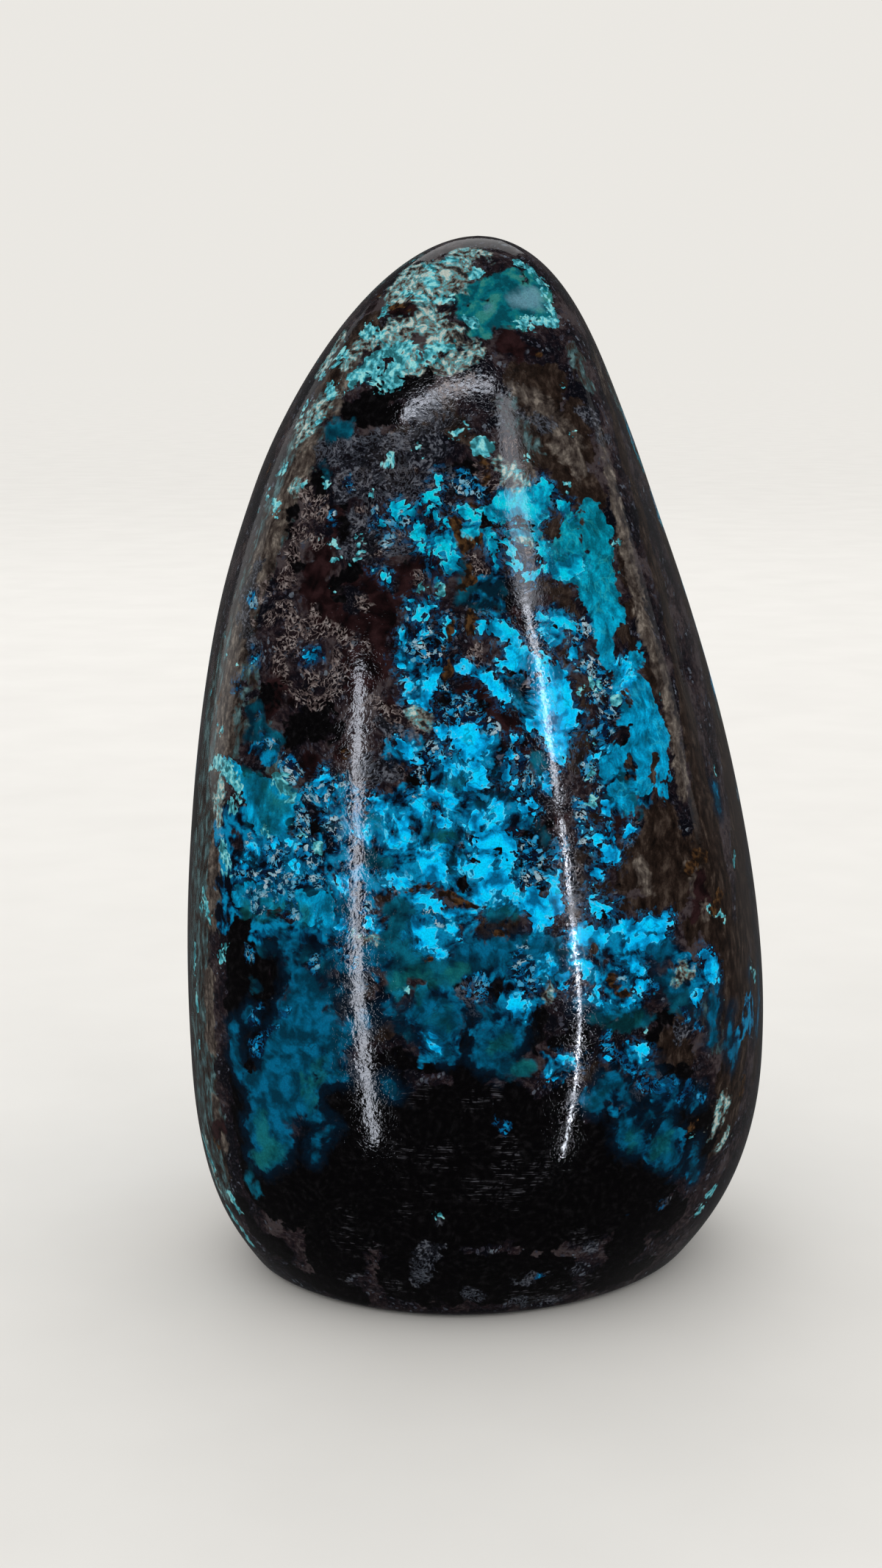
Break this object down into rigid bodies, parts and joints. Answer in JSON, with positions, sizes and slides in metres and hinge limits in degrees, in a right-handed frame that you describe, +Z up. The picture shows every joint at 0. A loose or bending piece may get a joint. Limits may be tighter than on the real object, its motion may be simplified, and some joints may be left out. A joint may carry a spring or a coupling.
{
  "type": "polished chrysocolla specimen",
  "caption": "Free-standing polished stone freeform: a broad bulging front face, a crisp side ridge, a rounded tip and a flat cut base.",
  "frame": {"origin": "on the flat base, under the middle of the stone's outline", "axes": "+Z up towards the rounded tip, -Y the way the broad front face looks, +X to the right of someone who looks at that face"},
  "size_m": [0.0464, 0.0406, 0.08],
  "materials": {
    "stone": "glassy hand polish over mottled turquoise, deep blue, maroon-black and brown mineral, with beige crackle and a matt worn rim at the base"
  },
  "bodies": {
    "root": {"chrysocolla_stone": "stone"}
  },
  "joints": []
}
